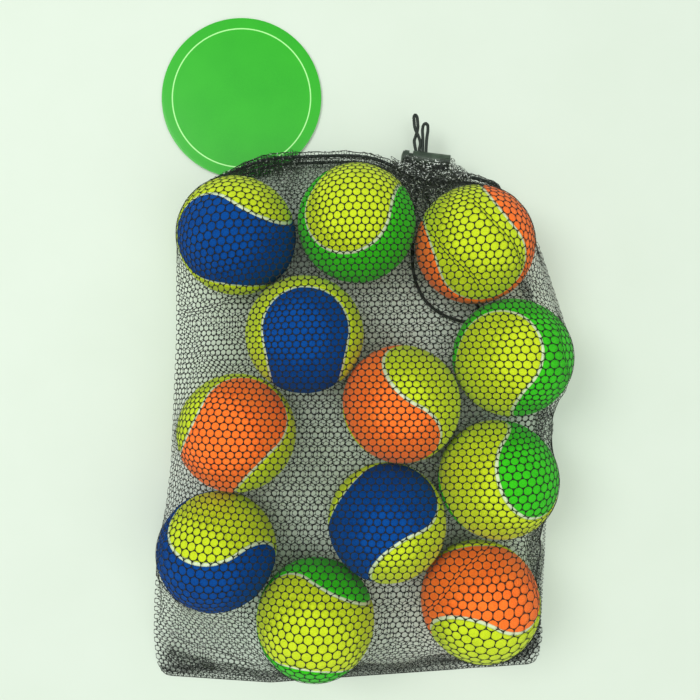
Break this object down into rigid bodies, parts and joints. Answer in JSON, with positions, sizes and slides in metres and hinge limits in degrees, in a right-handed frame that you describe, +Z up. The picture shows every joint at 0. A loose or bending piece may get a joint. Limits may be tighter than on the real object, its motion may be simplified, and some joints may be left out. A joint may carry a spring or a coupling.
{
  "type": "mesh ball bag",
  "caption": "Drawstring net bag lying flat, holding two-tone felt training balls, with a gathered mouth, a sprung cord lock and a round hang tag.",
  "frame": {"origin": "on the table under the middle of the bag, on the flat underside of the back net", "axes": "+Z up from the table through the front net, +Y towards the mouth and the hang tag, +X to the right seen from above"},
  "size_m": [0.2424, 0.4041, 0.0688],
  "materials": {
    "ball_rubber": "matt moulded rubber",
    "felt_yellow": "napped felt, optic yellow",
    "felt_blue": "napped felt, blue",
    "felt_green": "napped felt, green",
    "felt_orange": "napped felt, orange",
    "ball_seam": "pale vulcanised seam",
    "net": "knitted hexagonal polyester net, black",
    "net_binding": "gathered and overlocked net, black",
    "cord": "braided cord, black",
    "lock_plastic": "moulded, fine texture, dark green-black",
    "spring_steel": "drawn wire",
    "tag_card": "printed card, glossy varnish, green",
    "tag_string": "thin twisted string, off-white"
  },
  "bodies": {
    "bag": {"front_net": "net", "back_net": "net", "right_seam": "net_binding", "bottom_seam": "net_binding", "mouth_hem": "net_binding", "drawcord": "cord", "tag_string": "tag_string"},
    "ball_01": {"ball_01_core": "ball_rubber", "ball_01_yellow_felt": "felt_yellow", "ball_01_color_felt": "felt_blue", "ball_01_seam": "ball_seam"},
    "ball_02": {"ball_02_core": "ball_rubber", "ball_02_yellow_felt": "felt_yellow", "ball_02_color_felt": "felt_green", "ball_02_seam": "ball_seam"},
    "ball_03": {"ball_03_core": "ball_rubber", "ball_03_yellow_felt": "felt_yellow", "ball_03_color_felt": "felt_orange", "ball_03_seam": "ball_seam"},
    "ball_04": {"ball_04_core": "ball_rubber", "ball_04_yellow_felt": "felt_yellow", "ball_04_color_felt": "felt_blue", "ball_04_seam": "ball_seam"},
    "ball_05": {"ball_05_core": "ball_rubber", "ball_05_yellow_felt": "felt_yellow", "ball_05_color_felt": "felt_green", "ball_05_seam": "ball_seam"},
    "ball_06": {"ball_06_core": "ball_rubber", "ball_06_yellow_felt": "felt_yellow", "ball_06_color_felt": "felt_orange", "ball_06_seam": "ball_seam"},
    "ball_07": {"ball_07_core": "ball_rubber", "ball_07_yellow_felt": "felt_yellow", "ball_07_color_felt": "felt_orange", "ball_07_seam": "ball_seam"},
    "ball_08": {"ball_08_core": "ball_rubber", "ball_08_yellow_felt": "felt_yellow", "ball_08_color_felt": "felt_green", "ball_08_seam": "ball_seam"},
    "ball_09": {"ball_09_core": "ball_rubber", "ball_09_yellow_felt": "felt_yellow", "ball_09_color_felt": "felt_blue", "ball_09_seam": "ball_seam"},
    "ball_10": {"ball_10_core": "ball_rubber", "ball_10_yellow_felt": "felt_yellow", "ball_10_color_felt": "felt_blue", "ball_10_seam": "ball_seam"},
    "ball_11": {"ball_11_core": "ball_rubber", "ball_11_yellow_felt": "felt_yellow", "ball_11_color_felt": "felt_green", "ball_11_seam": "ball_seam"},
    "ball_12": {"ball_12_core": "ball_rubber", "ball_12_yellow_felt": "felt_yellow", "ball_12_color_felt": "felt_orange", "ball_12_seam": "ball_seam"},
    "cord_lock": {"lock_barrel": "lock_plastic", "lock_spring": "spring_steel"},
    "lock_button": {"lock_plunger": "lock_plastic"},
    "hang_tag": {"hang_tag": "tag_card"}
  },
  "joints": [
    {"name": "ball_01_roll", "type": "hinge", "parent": "bag", "child": "ball_01", "pos_m": [-0.07, 0.103, 0.034], "axis": [0, 0, 1], "continuous": true},
    {"name": "ball_02_roll", "type": "hinge", "parent": "bag", "child": "ball_02", "pos_m": [-0.003, 0.11, 0.034], "axis": [0, 0, 1], "continuous": true},
    {"name": "ball_03_roll", "type": "hinge", "parent": "bag", "child": "ball_03", "pos_m": [0.063, 0.098, 0.034], "axis": [0, 0, 1], "continuous": true},
    {"name": "ball_04_roll", "type": "hinge", "parent": "bag", "child": "ball_04", "pos_m": [-0.032, 0.048, 0.034], "axis": [0, 0, 1], "continuous": true},
    {"name": "ball_05_roll", "type": "hinge", "parent": "bag", "child": "ball_05", "pos_m": [0.084, 0.035, 0.034], "axis": [0, 0, 1], "continuous": true},
    {"name": "ball_06_roll", "type": "hinge", "parent": "bag", "child": "ball_06", "pos_m": [-0.07, -0.007, 0.034], "axis": [0, 0, 1], "continuous": true},
    {"name": "ball_07_roll", "type": "hinge", "parent": "bag", "child": "ball_07", "pos_m": [0.022, 0.009, 0.034], "axis": [0, 0, 1], "continuous": true},
    {"name": "ball_08_roll", "type": "hinge", "parent": "bag", "child": "ball_08", "pos_m": [0.076, -0.033, 0.034], "axis": [0, 0, 1], "continuous": true},
    {"name": "ball_09_roll", "type": "hinge", "parent": "bag", "child": "ball_09", "pos_m": [-0.081, -0.073, 0.034], "axis": [0, 0, 1], "continuous": true},
    {"name": "ball_10_roll", "type": "hinge", "parent": "bag", "child": "ball_10", "pos_m": [0.014, -0.057, 0.034], "axis": [0, 0, 1], "continuous": true},
    {"name": "ball_11_roll", "type": "hinge", "parent": "bag", "child": "ball_11", "pos_m": [-0.026, -0.111, 0.034], "axis": [0, 0, 1], "continuous": true},
    {"name": "ball_12_roll", "type": "hinge", "parent": "bag", "child": "ball_12", "pos_m": [0.066, -0.101, 0.034], "axis": [0, 0, 1], "continuous": true},
    {"name": "cord_lock_slide", "type": "slide", "parent": "bag", "child": "cord_lock", "axis": [0, 1, 0], "range_m": [0, 0.012]},
    {"name": "lock_button_press", "type": "slide", "parent": "cord_lock", "child": "lock_button", "axis": [0.9925, -0.1219, 0], "range_m": [0, 0.002], "stiffness_N_per_m": 1500, "springref_m": -0.001, "deforming": ["lock_spring"]},
    {"name": "hang_tag_swing", "type": "hinge", "parent": "bag", "child": "hang_tag", "pos_m": [-0.068, 0.1515, 0.00135], "axis": [0, 0, 1], "range_deg": [-20, 20]}
  ]
}
